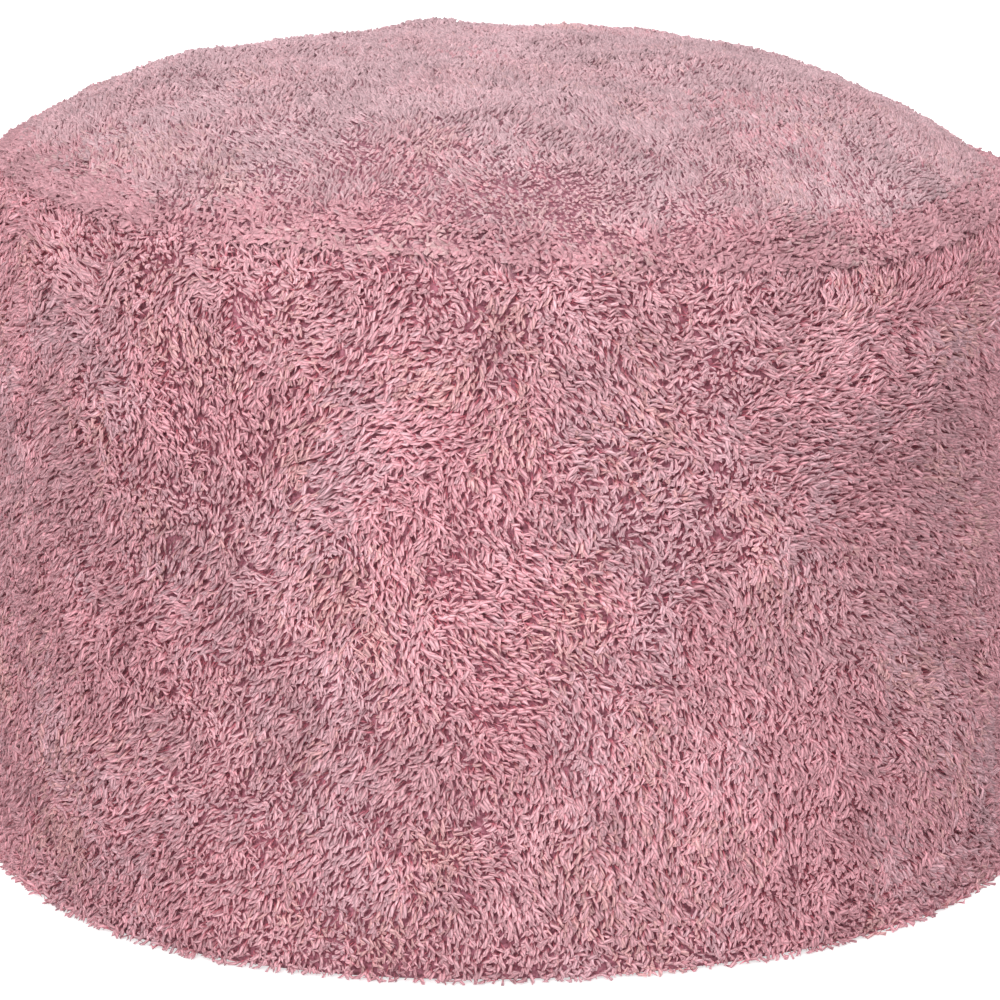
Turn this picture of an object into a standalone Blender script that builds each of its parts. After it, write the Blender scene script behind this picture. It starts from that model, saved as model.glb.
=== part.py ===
"""Round shag pouf: a filled drum with a shaggy side band, a domed shaggy top panel and a plain base cloth.

Metres, +Z up. The pouf stands on the plane z = 0, and its box is centred over the origin. The side seen in
front faces -Y. Every surface here is the one that the tips of the pile reach.
"""

import math
import random

import bmesh
import bpy
from mathutils import Vector, noise

OBJECT = "cylinder_pouf"

# Main sizes, in metres
RADIUS = 0.250           # half the width over the pile, at mid height
SEAM_RADIUS = 0.2420     # where the top panel meets the side band
SEAM_HEIGHT = 0.330      # mean height of that seam
CROWN = 0.051            # how far the dome rises above the seam
CROWN_POWER = 3.8        # 2 is a round dome, and more gives a flatter middle and a rounder edge
SLAB = 0.012             # thickness of the top panel in its middle
SHOULDER = 0.050         # height over which the side rounds in to the seam
BARREL = 0.0015          # how far the side swells between its ends
FOOT_RADIUS = 0.240      # where the side band turns under
FOOT_HEIGHT = 0.030      # height over which it draws in to the floor
BASE_RADIUS = 0.231      # the base cloth
CLOTH = 0.002            # its thickness
GAP = 0.0003             # clearance between pieces that touch
LEAN = 0.004             # drift of the top towards +X

# The seam isn't level: it falls towards +X and rises towards +Y
SEAM_FALL_X = 0.009
SEAM_RISE_Y = 0.007

# Dips and swells of the seam: direction in degrees, rise in metres, half width in degrees
SEAM_WAVES = (
    (-45.0, -0.0035, 22.0),
    (-5.0, 0.0070, 22.0),
    (-175.0, 0.0040, 30.0),
    (-100.0, 0.0045, 28.0),
    (60.0, 0.0030, 30.0),
    (135.0, -0.0045, 32.0),
)

# Lumps of the pile: spacing and height in metres
SWELLS = (
    (0.150, 0.0025),
    (0.052, 0.0038),
    (0.026, 0.0026),
)

# Mesh steps, and how far a column may stray, as a share of the step to the next one
COLUMNS = 96
STRAY = 0.55
STRAY_SPACING = 0.019
WALL_ROWS = 15
DOME_RINGS = 12
HIDDEN_RINGS = 3

# A lock is two tapering steps: how much narrower each one ends than it starts
LOCK_TAPER = (0.76, 0.56)

# The share of the places for locks that stay bare, and how far a lump may sink into a thin panel
BARE_SHARE = 0.06
DEEPEST_SINK = 0.0015
CALM_RADIUS = 0.090      # the dome's middle, where the rings are small, stays smoother

# Colours (linear) of the yarn and of the base cloth
YARN_ROSE = (0.545, 0.265, 0.300)
BASE_ROSE = (0.330, 0.180, 0.190)


def clear_scene():
    """Remove every object, so the script starts from nothing."""
    for item in list(bpy.data.objects):
        bpy.data.objects.remove(item, do_unlink=True)


def cloth_material(name, colour, roughness):
    """Return a matt cloth material with a linear colour."""
    material = bpy.data.materials.new(name)
    material.use_nodes = True
    shader = material.node_tree.nodes["Principled BSDF"]
    shader.inputs["Base Color"].default_value = (*colour, 1.0)
    shader.inputs["Roughness"].default_value = roughness
    shader.inputs["Metallic"].default_value = 0.0
    material.diffuse_color = (*colour, 1.0)
    return material


def dome_height(share):
    """Return the height of the pile's surface on the top, at a share of the seam's radius."""
    return SEAM_HEIGHT + CROWN * (1.0 - share ** CROWN_POWER)


def bed_height(share):
    """Return the height of the underside of the top panel, at a share of the seam's radius."""
    rim = SEAM_HEIGHT - 0.002
    return rim + (CROWN - SLAB + 0.002) * (1.0 - share ** CROWN_POWER)


def bed_shares():
    """Return the shares of the seam's radius at which the top panel and the drum meet, from the centre out."""
    return [step / HIDDEN_RINGS * 0.97 for step in range(HIDDEN_RINGS + 1)]


def top_profile():
    """Return the top panel's section, from the centre of the dome out over its edge and back under it."""
    points = []
    for step in range(DOME_RINGS + 1):
        # Rings lie closer together towards the edge, where the dome bends most
        share = 0.965 * (step / DOME_RINGS) ** 0.85
        points.append((share * SEAM_RADIUS, dome_height(share)))
    points.append((SEAM_RADIUS - 0.0015, SEAM_HEIGHT + 0.0038))
    points.append((SEAM_RADIUS, SEAM_HEIGHT - 0.0010))
    points += [(share * SEAM_RADIUS, bed_height(share)) for share in reversed(bed_shares())]
    return points


def side_profile():
    """Return the drum's section, from under the top panel down the side and back to the axis."""
    points = [(share * SEAM_RADIUS, bed_height(share) - GAP) for share in bed_shares()]
    # The groove of the seam, then the rounded shoulder
    groove_radius, groove_height = SEAM_RADIUS - 0.0030, SEAM_HEIGHT - 0.0050
    points.append((groove_radius, groove_height))
    shoulder_bottom = SEAM_HEIGHT - SHOULDER
    for angle in (24.0, 46.0, 68.0):
        turn = math.radians(angle)
        points.append((
            groove_radius + (RADIUS - groove_radius) * math.sin(turn) ** 0.9,
            shoulder_bottom + (groove_height - shoulder_bottom) * math.cos(turn),
        ))
    wall = shoulder_bottom - FOOT_HEIGHT
    for row in range(WALL_ROWS + 1):
        share = row / WALL_ROWS
        swell = BARREL * math.sin(math.pi * share)
        points.append((RADIUS - BARREL + swell, shoulder_bottom - wall * share))
    points.append((RADIUS - BARREL - 0.0005, FOOT_HEIGHT * 0.62))
    points.append((RADIUS - BARREL - 0.0025, FOOT_HEIGHT * 0.28))
    underside = CLOTH + GAP
    points.append((FOOT_RADIUS, underside))
    points.append((BASE_RADIUS * 0.55, underside))
    points.append((0.0, underside))
    return points


def base_profile():
    """Return the base cloth's section, from the centre of its upper face out and back under it."""
    return [
        (0.0, CLOTH),
        (BASE_RADIUS, CLOTH),
        (BASE_RADIUS, 0.0),
        (0.0, 0.0),
    ]


def turned_mesh(name, profile):
    """Return the mesh of a section turned about Z. The section runs from the top down its outer side."""
    line = bpy.data.meshes.new(name + "_section")
    line.from_pydata(
        [(radius, 0.0, height) for radius, height in profile],
        [(step, step + 1) for step in range(len(profile) - 1)],
        [],
    )
    guide = bpy.data.objects.new(name + "_section", line)
    bpy.context.scene.collection.objects.link(guide)
    screw = guide.modifiers.new("Turn", "SCREW")
    screw.axis = "Z"
    screw.angle = math.tau
    screw.steps = COLUMNS
    screw.render_steps = COLUMNS
    screw.use_merge_vertices = True
    screw.merge_threshold = 0.00005
    graph = bpy.context.evaluated_depsgraph_get()
    mesh = bpy.data.meshes.new_from_object(guide.evaluated_get(graph))
    mesh.name = name
    bpy.data.objects.remove(guide, do_unlink=True)
    return mesh


def share_out(point):
    """Return a point's distance from the axis, as a share of the seam's radius."""
    return math.hypot(point.x, point.y) / SEAM_RADIUS


def seam_rise(angle):
    """Return how far the seam stands above its mean height in a direction (radians)."""
    rise = -SEAM_FALL_X * math.cos(angle) + SEAM_RISE_Y * math.sin(angle)
    for direction, height, half_width in SEAM_WAVES:
        away = math.remainder(math.degrees(angle) - direction, 360.0)
        rise += height * math.exp(-((away / half_width) ** 2))
    return rise


def slump(point):
    """Return a point of the even turned shape, moved to where the slumped filling leaves it.

    Columns of points stray a little sideways as well, so that locks differ in width.
    """
    share_up = min(point.z / SEAM_HEIGHT, 1.0)
    angle = math.atan2(point.y, point.x)
    rise = seam_rise(angle) * share_up * min(share_out(point), 1.0)
    if share_out(point) > 0.98:
        # Only outside the bed that the top panel and the drum share, where their points have to match
        angle += STRAY * math.tau / COLUMNS * noise.noise(point / STRAY_SPACING)
    radius = math.hypot(point.x, point.y)
    return Vector((
        radius * math.cos(angle) + LEAN * share_up,
        radius * math.sin(angle),
        point.z + rise,
    ))


def lump(point):
    """Return how far the pile stands proud (positive) or sinks at a point, in metres."""
    height = 0.0
    for number, (spacing, reach) in enumerate(SWELLS):
        offset = Vector((3.1, 7.7, 1.9)) * (number + 1)
        height += reach * 1.5 * noise.noise(point / spacing + offset)
    return height


def raise_lumps(edit, pile, deepest=1.0):
    """Push the points of the pile in and out along their normals, inwards no further than deepest."""
    edit.normal_update()
    steps = {}
    for point in pile:
        calm = min(math.hypot(*point.co.xy) / CALM_RADIUS, 1.0)
        steps[point] = point.normal * calm * max(lump(point.co), -deepest)
    for point, step in steps.items():
        point.co += step


def ring_faces(edit, low, high):
    """Return the faces whose centres, on the even shape, lie between two heights, in order round the pouf."""
    picked = [face for face in edit.faces if low < face.calc_center_median().z < high]
    return sorted(picked, key=lambda face: math.atan2(*face.calc_center_median().yx))


def thinned(faces, chance):
    """Return the faces without the few that stay bare."""
    return [face for face in faces if chance.random() > BARE_SHARE]


def grow_lock(edit, face, steps, sway):
    """Draw a face out into one lock.

    steps has a row for each length of the lock: how far it goes outwards and how far up, in metres.
    sway is how far the lock leans sideways at its tip.
    """
    for (out, up), taper in zip(steps, LOCK_TAPER):
        centre = face.calc_center_median()
        outward = Vector((centre.x, centre.y, 0.0)).normalized()
        sideways = Vector((-outward.y, outward.x, 0.0))
        face = bmesh.ops.extrude_discrete_faces(edit, faces=[face])["faces"][0]
        shift = outward * out + sideways * (sway / len(LOCK_TAPER)) + Vector((0.0, 0.0, up))
        for corner in face.verts:
            corner.co = centre + (corner.co - centre) * taper + shift


def add_part(name, mesh, material, collection):
    """Put a finished mesh in the collection as the object of one piece."""
    mesh.materials.clear()
    mesh.materials.append(material)
    mesh.shade_smooth()
    mesh.set_sharp_from_angle(angle=math.radians(40.0))
    part = bpy.data.objects.new(name, mesh)
    collection.objects.link(part)
    return part


def shaped(name, profile, shape):
    """Turn a section and let shape(edit) work on the mesh. Return the mesh."""
    mesh = turned_mesh(name, profile)
    edit = bmesh.new()
    edit.from_mesh(mesh)
    bmesh.ops.remove_doubles(edit, verts=edit.verts, dist=0.00005)
    shape(edit)
    edit.to_mesh(mesh)
    edit.free()
    return mesh


def shape_top(edit):
    """Slump the top panel, raise its lumps and draw its edge out into locks that hang over the seam."""
    chance = random.Random(11)
    edge = ring_faces(edit, SEAM_HEIGHT, SEAM_HEIGHT + 0.0025)
    surface = {point for point in edit.verts if point.co.z > bed_height(share_out(point.co)) + SLAB / 6.0}
    for point in edit.verts:
        point.co = slump(point.co)
    raise_lumps(edit, surface, DEEPEST_SINK)
    for face in thinned(edge, chance):
        length = chance.uniform(0.75, 1.25)
        steps = (
            (0.0036 * length, 0.0012 * chance.uniform(-0.5, 1.0)),
            (0.0030 * length, -0.0018 * chance.uniform(0.3, 1.1)),
        )
        grow_lock(edit, face, steps, chance.uniform(-0.004, 0.004))


def shape_side(edit):
    """Slump the drum, raise its lumps and draw locks out of its shoulder and out of its hem."""
    chance = random.Random(23)
    hem = ring_faces(edit, FOOT_HEIGHT * 0.30, FOOT_HEIGHT * 0.61)
    shoulder = ring_faces(edit, SEAM_HEIGHT - 0.0160, SEAM_HEIGHT - 0.0100)[::2]
    groove = SEAM_RADIUS - 0.0025
    pile = {point for point in edit.verts if math.hypot(*point.co.xy) > groove and point.co.z > 0.004}
    for point in edit.verts:
        point.co = slump(point.co)
    raise_lumps(edit, pile)
    for face in shoulder:
        length = chance.uniform(0.8, 1.2)
        steps = ((0.0046 * length, -0.0040 * length), (0.0026 * length, -0.0050 * length))
        grow_lock(edit, face, steps, chance.uniform(-0.004, 0.004))
    for face in thinned(hem, chance):
        drop = face.calc_center_median().z - 0.0032
        steps = (
            (0.0022 * chance.uniform(0.5, 1.5), -0.45 * drop),
            (0.0012 * chance.uniform(-0.4, 1.6), -0.55 * drop * chance.uniform(0.82, 1.0)),
        )
        grow_lock(edit, face, steps, chance.uniform(-0.004, 0.004))


def centre_over_origin(parts):
    """Move the points of every part sideways, so that the box of them all is centred over the origin."""
    points = [point.co for part in parts for point in part.data.vertices]
    middle = [(min(point[axis] for point in points) + max(point[axis] for point in points)) / 2.0
              for axis in (0, 1)]
    for part in parts:
        for point in part.data.vertices:
            point.co.x -= middle[0]
            point.co.y -= middle[1]


def main():
    """Build the pouf."""
    clear_scene()
    collection = bpy.data.collections.new(OBJECT)
    bpy.context.scene.collection.children.link(collection)
    yarn = cloth_material("shag_yarn", YARN_ROSE, 0.95)
    yarn_top = cloth_material("shag_yarn_top", YARN_ROSE, 0.95)
    canvas = cloth_material("base_canvas", BASE_ROSE, 0.9)
    parts = [
        add_part("side_band", shaped("side_band", side_profile(), shape_side), yarn, collection),
        add_part("top_panel", shaped("top_panel", top_profile(), shape_top), yarn_top, collection),
        add_part("base_panel", turned_mesh("base_panel", base_profile()), canvas, collection),
    ]
    centre_over_origin(parts)


main()
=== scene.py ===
"""Looks of a round shag pouf: backing cloths, a pile of twisted cotton yarn, a plain floor and soft light.

Metres, +Z up, -Y is the front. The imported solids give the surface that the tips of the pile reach, and every
piece here is placed from them.
"""

import itertools
import logging
import math
from dataclasses import dataclass, field
from enum import Enum
from typing import Callable, ClassVar

import bpy
import numpy as np
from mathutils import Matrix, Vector
from mathutils.bvhtree import BVHTree


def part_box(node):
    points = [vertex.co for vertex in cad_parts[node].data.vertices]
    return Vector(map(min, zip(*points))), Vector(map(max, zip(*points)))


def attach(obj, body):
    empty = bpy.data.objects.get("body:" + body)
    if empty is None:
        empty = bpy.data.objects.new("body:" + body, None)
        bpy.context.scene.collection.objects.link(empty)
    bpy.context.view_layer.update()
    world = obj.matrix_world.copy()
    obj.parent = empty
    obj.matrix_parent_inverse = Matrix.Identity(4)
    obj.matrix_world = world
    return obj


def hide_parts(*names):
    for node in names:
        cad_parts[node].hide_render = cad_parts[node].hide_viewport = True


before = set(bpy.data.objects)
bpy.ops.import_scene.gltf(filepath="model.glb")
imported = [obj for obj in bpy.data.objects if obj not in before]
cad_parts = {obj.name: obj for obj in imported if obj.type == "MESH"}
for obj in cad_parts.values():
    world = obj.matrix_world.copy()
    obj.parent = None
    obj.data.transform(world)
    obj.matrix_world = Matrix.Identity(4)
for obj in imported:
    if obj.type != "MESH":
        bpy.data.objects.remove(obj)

LOG = logging.getLogger("pouf")
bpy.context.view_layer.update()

Array = np.ndarray
Colour = tuple[float, float, float]
Surface = Callable[[Array, Array], Array]


# Helpers

def deselect_all() -> None:
    """Leave edit mode and select nothing."""
    if bpy.context.object and bpy.context.object.mode != "OBJECT":
        bpy.ops.object.mode_set(mode="OBJECT")
    bpy.ops.object.select_all(action="DESELECT")


def select_points(piece: bpy.types.Object, picks: Callable[[Vector], bool]) -> int:
    """Select some points of a piece, in edit mode when it returns.

    Args:
        piece: the active object, in edit mode.
        picks: says for a point's place whether it is selected.

    Returns:
        How many points are selected.
    """
    bpy.ops.mesh.select_mode(type="VERT")
    bpy.ops.mesh.select_all(action="DESELECT")
    bpy.ops.object.mode_set(mode="OBJECT")
    count = 0
    for point in piece.data.vertices:
        point.select = picks(point.co)
        count += point.select
    for edge in piece.data.edges:
        edge.select = all(piece.data.vertices[end].select for end in edge.vertices)
    for face in piece.data.polygons:
        face.select = all(piece.data.vertices[corner].select for corner in face.vertices)
    bpy.ops.object.mode_set(mode="EDIT")
    return count


def unit(vectors: Array) -> Array:
    """Return the vectors, one a row, at length 1."""
    return vectors / np.maximum(np.linalg.norm(vectors, axis=1, keepdims=True), 1e-12)


def hashed(cells: Array, seed: int) -> Array:
    """Return one even random number from 0 to 1 for each row of whole numbers."""
    mixed = cells[:, 0] * 73856093 ^ cells[:, 1] * 19349663 ^ cells[:, 2] * 83492791 ^ (seed + 1) * 40503
    mixed = mixed & 0xFFFFFFFF
    for _ in range(2):
        mixed = ((mixed >> 15) ^ mixed) * 0x2C1B3C6D & 0xFFFFFFFF
        mixed = ((mixed >> 12) ^ mixed) * 0x297A2D39 & 0xFFFFFFFF
    return ((mixed >> 8) & 0xFFFF) / 65535.0


def smooth_noise(points: Array, spacing: float, seed: int) -> Array:
    """Return smooth noise from -1 to 1 at each point.

    Args:
        points: places, one a row.
        spacing: size of the pattern's lumps in metres.
        seed: which pattern.

    Returns:
        One value a point.
    """
    scaled = points / spacing
    cells = np.floor(scaled).astype(np.int64)
    inside = scaled - cells
    ease = inside * inside * (3.0 - 2.0 * inside)
    total = np.zeros(len(points))
    for corner in itertools.product((0, 1), repeat=3):
        weight = np.prod(np.where(corner, ease, 1.0 - ease), axis=1)
        total += weight * hashed(cells + np.array(corner), seed)
    return total * 2.0 - 1.0


def nearest_clump(points: Array, spacing: float, seed: int) -> tuple[Array, Array]:
    """Gather points into clumps round scattered centres.

    Args:
        points: places, one a row.
        spacing: mean distance between centres in metres.
        seed: which scatter.

    Returns:
        The way from each point to the centre of its clump, and whole numbers that name the clump.
    """
    scaled = points / spacing
    cells = np.floor(scaled).astype(np.int64)
    best = np.full(len(points), 1e9)
    way = np.zeros_like(points)
    name = np.zeros_like(cells)
    for step in itertools.product((-1, 0, 1), repeat=3):
        cell = cells + np.array(step)
        centre = cell + np.stack([hashed(cell, seed + axis) for axis in range(3)], axis=1)
        offset = centre - scaled
        distance = np.einsum("ij,ij->i", offset, offset)
        closer = distance < best
        best[closer] = distance[closer]
        way[closer] = offset[closer] * spacing
        name[closer] = cell[closer]
    return way, name


def finish_piece(piece: bpy.types.Object, material: bpy.types.Material) -> None:
    """Give a piece its material and the body that it rides on."""
    piece.data.materials.clear()
    piece.data.materials.append(material)
    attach(piece, "root")


def face_outwards() -> None:
    """Turn every face of the piece in edit mode outwards, and leave edit mode."""
    bpy.ops.mesh.select_all(action="SELECT")
    bpy.ops.mesh.normals_make_consistent(inside=False)
    bpy.ops.object.mode_set(mode="OBJECT")


def heading(angle: Array) -> Array:
    """Return directions round the pouf as rows of x and y."""
    return np.stack([np.cos(angle), np.sin(angle)], axis=1)


def turn_from(angle: Array, degrees: float) -> Array:
    """Return how far directions are turned from one in degrees, at most half a turn either way."""
    return np.remainder(angle - math.radians(degrees) + math.pi, math.tau) - math.pi


def bell(way: Array, width: float) -> Array:
    """Return a share that is 1 at no distance and fades out over a width."""
    return np.exp(-(way / width) ** 2)


# The form of the pouf

@dataclass
class DrumForm:
    """The surface that the pile's tips reach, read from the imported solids.

    A place on the side is a direction round the pouf and a way down the section from the seam. A place on
    the top is a direction and a way out from the middle. The filling has settled here and there, at
    directions in degrees, with -90 at the front. A rim dent is a direction, its width and its depth. A dome
    dent is a direction, how far out it lies, its reach and its depth, below 0 where the dome swells. A foot
    swell is a direction, its width, its swell and the height at which it ends.
    """

    groove_radius: float = 0.2392
    groove_drop: float = 0.0015
    rim_radius: float = 0.2416
    side_radius: float = 0.2475
    shoulder: float = 0.050
    foot_radius: float = 0.2495
    foot_height: float = 0.005
    calm: float = 0.7
    drum_height: float = 0.33
    rim_drop: float = 0.0030
    rim_dents: tuple[tuple[float, float, float], ...] = ((128.0, 24.0, 0.0050), (10.0, 24.0, 0.0040))
    dome_dents: tuple[tuple[float, float, float, float], ...] = ((155.0, 0.145, 0.060, 0.0052),
                                                                 (37.0, 0.168, 0.040, -0.0030))
    foot_swells: tuple[tuple[float, float, float, float], ...] = ((-22.0, 30.0, 0.0070, 0.11),
                                                                  (-118.0, 28.0, 0.0060, 0.09))
    underside: float = 0.0016
    directions: int = 180
    rows: int = 34
    lock_zone: float = 0.034
    dome_zone: float = 0.231

    def __post_init__(self) -> None:
        """Measure the solids."""
        self.side_tree = self.tree("side_band")
        self.top_tree = self.tree("top_panel")
        low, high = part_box("base_panel")
        self.foot_centre = np.array([(low.x + high.x) / 2.0, (low.y + high.y) / 2.0])
        low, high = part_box("top_panel")
        self.top_centre = np.array([(low.x + high.x) / 2.0, (low.y + high.y) / 2.0])
        self.angles = np.arange(self.directions) / self.directions * math.tau
        self.seam = self.measure_seam()
        self.mean_seam = float(self.seam.mean())
        self.side_r, self.side_z = self.side_section()
        self.side_way = self.way_along(self.side_r, self.side_z)
        self.side_length = float(self.side_way[-1])
        self.lumps = self.measure_side()
        self.top_r, self.top_grid = self.measure_top()
        mean = self.top_grid.mean(axis=0)
        self.top_way = self.way_along(self.top_r, mean)
        self.top_length = float(self.top_way[-1])

    @staticmethod
    def tree(node: str) -> BVHTree:
        """Return a search tree of a node's solid."""
        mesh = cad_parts[node].data
        return BVHTree.FromPolygons([v.co[:] for v in mesh.vertices], [p.vertices[:] for p in mesh.polygons])

    @staticmethod
    def way_along(radii: Array, heights: Array) -> Array:
        """Return how far each point of a section lies along it."""
        steps = np.hypot(np.diff(radii), np.diff(heights))
        return np.concatenate([[0.0], np.cumsum(steps)])

    def centre(self, height: Array) -> Array:
        """Return the middle of the pouf at some heights, as rows of x and y."""
        share = np.clip(height / self.drum_height, 0.0, 1.0)[:, None]
        return self.foot_centre * (1.0 - share) + self.top_centre * share

    def measure_seam(self) -> Array:
        """Return the seam's height in each direction, from the groove in the drum."""
        heights = []
        for outward in heading(self.angles):
            across = self.top_centre + self.groove_radius * outward
            hit = self.side_tree.ray_cast(Vector((*across, 1.0)), Vector((0.0, 0.0, -1.0)))[0]
            heights.append(hit.z + self.groove_drop)
        return self.rounded(np.array(heights), 3)

    @staticmethod
    def rounded(values: Array, passes: int) -> Array:
        """Return values that go round the pouf, evened out with their neighbours."""
        for _ in range(passes):
            values = (np.roll(values, 1, axis=0) + 2.0 * values + np.roll(values, -1, axis=0)) / 4.0
        return values

    def side_section(self) -> tuple[Array, Array]:
        """Return the side's even section, from the groove of the seam down to the floor."""
        radii, heights = [], []
        bottom = self.mean_seam - self.shoulder
        top = self.mean_seam - self.groove_drop
        for turn in np.radians(np.arange(0.0, 91.0, 15.0)):
            radii.append(self.groove_radius + (self.side_radius - self.groove_radius) * math.sin(turn))
            heights.append(bottom + (top - bottom) * math.cos(turn))
        for height in np.linspace(bottom, self.foot_height, 12)[1:]:
            radii.append(self.side_radius)
            heights.append(height)
        for turn in np.radians(np.arange(15.0, 91.0, 15.0)):
            radii.append(self.foot_radius + (self.side_radius - self.foot_radius) * math.cos(turn))
            heights.append(self.underside + (self.foot_height - self.underside) * (1.0 - math.sin(turn)))
        return np.array(radii), np.array(heights)

    def measure_side(self) -> Array:
        """Return how far the drum stands out of its even section, by direction and height."""
        low, high = self.lock_zone, self.mean_seam - self.lock_zone
        self.lump_heights = np.linspace(low, high, self.rows)
        found = np.zeros((self.directions, self.rows))
        for column, outward in enumerate(heading(self.angles)):
            for row, height in enumerate(self.lump_heights):
                middle = self.centre(np.array([height]))[0]
                start = Vector((*(middle + outward * 0.4), height))
                hit = self.side_tree.ray_cast(start, Vector((*-outward, 0.0)))[0]
                found[column, row] = math.hypot(hit.x - middle[0], hit.y - middle[1]) - self.side_radius
        return self.rounded(found, 2) * self.calm

    def measure_top(self) -> tuple[Array, Array]:
        """Return radii from the middle out, and the top's height by direction and radius."""
        inner = np.linspace(0.0, self.dome_zone, 24)
        grid = np.zeros((self.directions, len(inner)))
        for column, outward in enumerate(heading(self.angles)):
            for row, radius in enumerate(inner):
                across = self.top_centre + outward * max(radius, 0.001)
                hit = self.top_tree.ray_cast(Vector((*across, 1.0)), Vector((0.0, 0.0, -1.0)))[0]
                grid[column, row] = hit.z
        drop = np.full(self.directions, self.rim_drop)
        for angle, width, depth in self.rim_dents:
            drop += depth * bell(turn_from(self.angles, angle), math.radians(width))
        grid -= drop[:, None] * (inner / self.dome_zone)[None, :] ** 3
        for angle, radius, reach, depth in self.dome_dents:
            middle = radius * heading(np.radians([angle]))
            spots = inner[None, :, None] * heading(self.angles)[:, None, :] - middle
            grid -= depth * bell(np.linalg.norm(spots, axis=2), reach)
        edge = ((self.rim_radius - 0.003, 0.0030), (self.rim_radius, 0.0005), (self.rim_radius, -0.0015))
        radii = np.concatenate([inner, [radius for radius, _ in edge]])
        rim = np.stack([self.seam + rise for _, rise in edge], axis=1)
        return radii, self.rounded(np.concatenate([grid, rim], axis=1), 3)

    def around(self, table: Array, angle: Array, column: Array) -> Array:
        """Return values of a table by direction (wrapping) and column, both read between their steps."""
        turn = (angle / math.tau * self.directions) % self.directions
        first = np.floor(turn).astype(int) % self.directions
        part = turn - np.floor(turn)
        column = np.clip(column, 0.0, table.shape[1] - 1.0001)
        left = np.floor(column).astype(int)
        share = column - left
        after = (first + 1) % self.directions
        near = table[first, left] * (1.0 - share) + table[first, left + 1] * share
        far = table[after, left] * (1.0 - share) + table[after, left + 1] * share
        return near * (1.0 - part) + far * part

    def seam_height(self, angle: Array) -> Array:
        """Return the seam's height in some directions."""
        return self.around(np.stack([self.seam, self.seam], axis=1), angle, np.zeros(len(angle)))

    def side(self, angle: Array, way: Array) -> Array:
        """Return places on the side.

        Args:
            angle: directions in radians.
            way: how far down the section from the seam, in metres.

        Returns:
            One place a row.
        """
        radius = np.interp(way, self.side_way, self.side_r)
        height = np.interp(way, self.side_way, self.side_z)
        column = np.interp(height, self.lump_heights, np.arange(self.rows))
        fade = np.clip(height / 0.010, 0.0, 1.0) * np.clip(way / 0.010, 0.3, 1.0)
        radius = radius + fade * self.around(self.lumps, angle, column)
        for middle, width, swell, up_to in self.foot_swells:
            swell = swell * bell(turn_from(angle, middle), math.radians(width))
            radius += swell * np.clip(1.0 - height / up_to, 0.0, 1.0)
        rise = (self.seam_height(angle) - self.mean_seam) * np.clip(height / self.mean_seam, 0.0, 1.0)
        across = self.centre(height) + radius[:, None] * heading(angle)
        return np.concatenate([across, (height + rise)[:, None]], axis=1)

    def top(self, angle: Array, way: Array) -> Array:
        """Return places on the top, at some directions and some ways out from the middle."""
        column = np.interp(way, self.top_way, np.arange(len(self.top_way)))
        radius = np.interp(way, self.top_way, self.top_r)
        height = self.around(self.top_grid, angle, column)
        across = self.top_centre + radius[:, None] * heading(angle)
        return np.concatenate([across, height[:, None]], axis=1)

    @staticmethod
    def normals(surface: Surface, angle: Array, way: Array, limit: float) -> Array:
        """Return the directions straight out of a surface.

        Args:
            surface: side or top.
            angle: directions in radians.
            way: ways along the section.
            limit: the length of the section.

        Returns:
            One unit vector a row.
        """
        # The turn spans about the same length on the surface as the step along the section
        step = 0.004
        turn = step / 0.2
        back, ahead = np.maximum(way - step, 0.0), np.minimum(way + step, limit)
        along = surface(angle, ahead) - surface(angle, back)
        across = surface(angle + turn, way) - surface(angle - turn, way)
        return unit(np.cross(along, across))


# Finishes

PILE_MAP = "OFBake"
TINTS = 16
BAND_MARGIN = 0.06
COLOUR_A, COLOUR_B, COLOUR_RESULT = 6, 7, 2


class Dye(Enum):
    """The four dyes of the yarn, in the order of their bands on the pile's map."""

    MAIN = 0
    COOL = 1
    WARM = 2
    DEEP = 3


def set_inputs(node: bpy.types.Node, values: dict[str, object]) -> None:
    """Set a node's inputs, by name, to numbers or colours."""
    for label, value in values.items():
        node.inputs[label].default_value = (*value, 1.0) if isinstance(value, tuple) else value


def new_material(name: str, values: dict[str, object]) -> bpy.types.Material:
    """Return a new material, with inputs of its shader set by name."""
    material = bpy.data.materials.new(name)
    material.use_nodes = True
    set_inputs(material.node_tree.nodes["Principled BSDF"], values)
    return material


def dress(material: bpy.types.Material, group: bpy.types.NodeTree, place: bpy.types.NodeSocket,
          values: dict[str, object], bump: float, bump_reach: float) -> None:
    """Colour and emboss a material through a shader group.

    Args:
        material: the material.
        group: takes a Place and puts out a Colour and a Height.
        place: what feeds the group's Place.
        values: the group's other inputs, by name.
        bump: strength of the relief.
        bump_reach: its depth in metres.
    """
    nodes, links = material.node_tree.nodes, material.node_tree.links
    shader = nodes["Principled BSDF"]
    read = nodes.new("ShaderNodeGroup")
    read.node_tree = group
    set_inputs(read, values)
    relief = nodes.new("ShaderNodeBump")
    set_inputs(relief, {"Strength": bump, "Distance": bump_reach})
    links.new(place, read.inputs["Place"])
    links.new(read.outputs["Colour"], shader.inputs["Base Color"])
    links.new(read.outputs["Height"], relief.inputs["Height"])
    links.new(relief.outputs["Normal"], shader.inputs["Normal"])


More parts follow.
